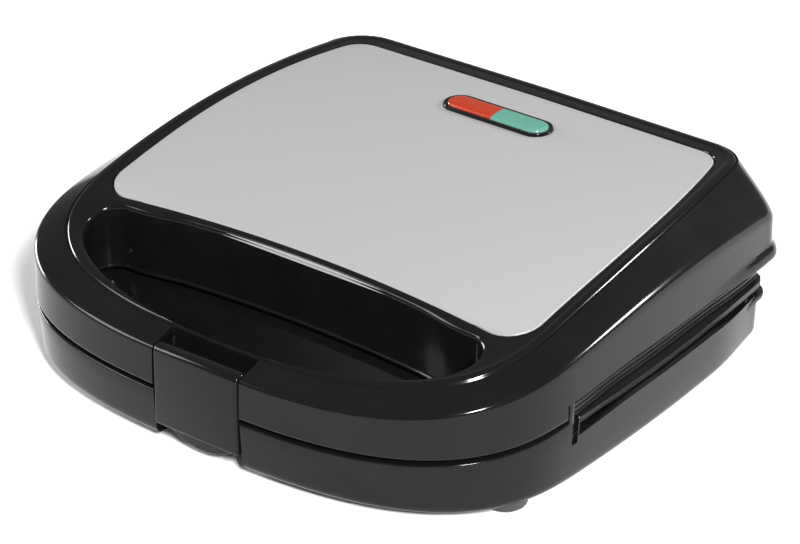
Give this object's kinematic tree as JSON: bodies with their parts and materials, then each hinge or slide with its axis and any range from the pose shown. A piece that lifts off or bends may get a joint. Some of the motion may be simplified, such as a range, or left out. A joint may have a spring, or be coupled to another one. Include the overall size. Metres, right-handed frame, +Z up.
{
  "type": "donut maker",
  "caption": "Closed hinged baking iron with ring-shaped wells, a steel-topped lid, a finger opening behind the front bar and a front latch.",
  "frame": {"origin": "middle of the footprint, on the surface that the feet stand on", "axes": "+Z up, +X to the user's right, -Y towards the user, where the handle and latch are"},
  "size_m": [0.227, 0.206, 0.0728],
  "materials": {
    "black_gloss": "polished injection moulding",
    "black_matte": "fine texture",
    "steel_satin": "satin",
    "non_stick": "non-stick coating",
    "element_metal": "annealed tube",
    "bright_aluminium": "rolled sheet",
    "zinc_steel": "zinc plated",
    "black_rubber": "matt",
    "white_plastic": "plain",
    "wire_yellow": "silicone sleeve",
    "lens_red": "translucent",
    "lens_green": "translucent",
    "lamp_glass": "clear",
    "brown_bakelite": "moulded"
  },
  "bodies": {
    "base": {"base_housing": "black_gloss", "lower_frame": "black_matte", "lower_plate": "non_stick", "lower_heater": "element_metal", "lower_reflector": "bright_aluminium", "lower_plate_screws": "zinc_steel", "base_screws": "zinc_steel", "foot_front_left": "black_rubber", "foot_front_right": "black_rubber", "foot_rear_left": "black_rubber", "foot_rear_right": "black_rubber", "cord_gland": "black_rubber", "cord_clamp": "white_plastic", "terminal_block": "white_plastic", "base_wires": "wire_yellow"},
    "lid": {"lid_housing": "black_gloss", "handle_cover": "black_matte", "upper_frame": "black_matte", "upper_plate": "non_stick", "upper_heater": "element_metal", "upper_reflector": "bright_aluminium", "upper_plate_screws": "zinc_steel", "lid_screws": "zinc_steel", "top_plate": "steel_satin", "lamp_bezel": "black_gloss", "lens_red": "lens_red", "lens_green": "lens_green", "lamp_red": "lamp_glass", "lamp_green": "lamp_glass", "lamp_holder": "white_plastic", "thermostat": "brown_bakelite", "thermal_fuse": "wire_yellow", "lid_wires": "wire_yellow", "hinge_pin_left": "zinc_steel", "hinge_pin_right": "zinc_steel", "latch_pin": "zinc_steel"},
    "latch": {"latch": "black_gloss"}
  },
  "joints": [
    {"name": "lid_hinge", "type": "hinge", "parent": "base", "child": "lid", "pos_m": [0, 0.097, 0.02845], "axis": [-1, 0, 0], "range_deg": [0, 100]},
    {"name": "latch_pivot", "type": "hinge", "parent": "lid", "child": "latch", "pos_m": [0, -0.0982, 0.0365], "axis": [-1, 0, 0], "range_deg": [0, 40]}
  ]
}
